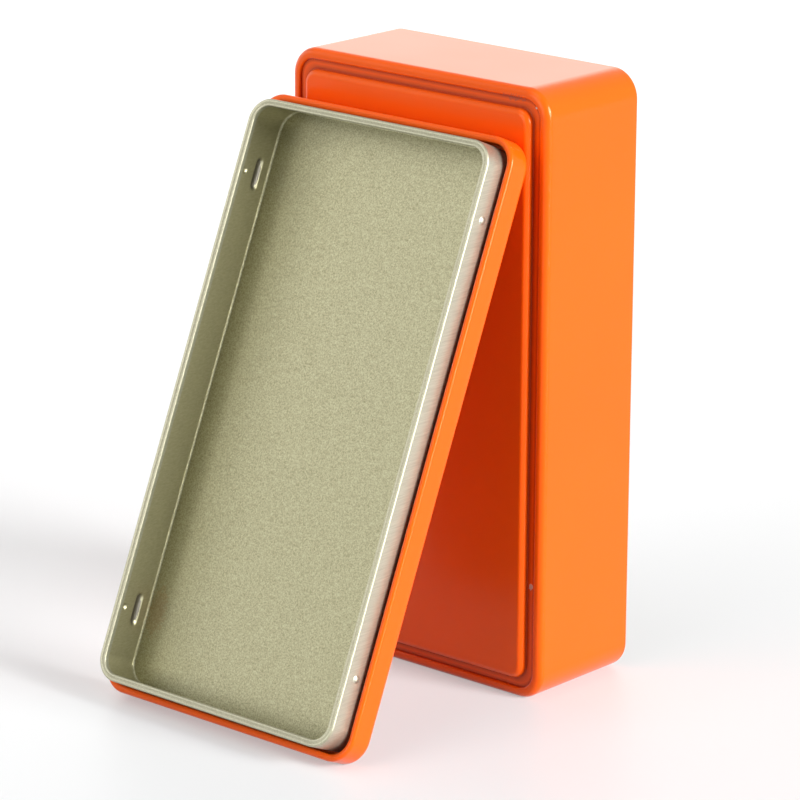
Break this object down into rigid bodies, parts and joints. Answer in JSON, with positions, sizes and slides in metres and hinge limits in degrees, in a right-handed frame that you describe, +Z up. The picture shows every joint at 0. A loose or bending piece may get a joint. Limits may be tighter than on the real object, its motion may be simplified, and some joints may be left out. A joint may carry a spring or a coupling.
{
  "type": "playing card tin",
  "caption": "Upright oblong tinplate box with rounded corners and a grooved, raised end panel; its plug lid leans on it, lined tray outwards.",
  "frame": {"origin": "centre of the short end wall that the box stands on, on the ground", "axes": "+Z up along the length of the box; -Y is the closed end that the lid leans on; +Y is the open mouth; +X across the width"},
  "size_m": [0.1051, 0.131, 0.19],
  "materials": {
    "orange_enamel": "glossy",
    "bare_tinplate": "satin, lacquered"
  },
  "bodies": {
    "box": {"body_shell": "orange_enamel", "end_panel": "orange_enamel"},
    "lid": {"lid_shell": "orange_enamel", "plug_tray": "bare_tinplate"}
  },
  "joints": [
    {"name": "lid_lean", "type": "hinge", "parent": "box", "child": "lid", "pos_m": [-0.0031, -0.09783, 0.0023], "axis": [1, 0, 0], "range_deg": [0, 23.1]}
  ]
}
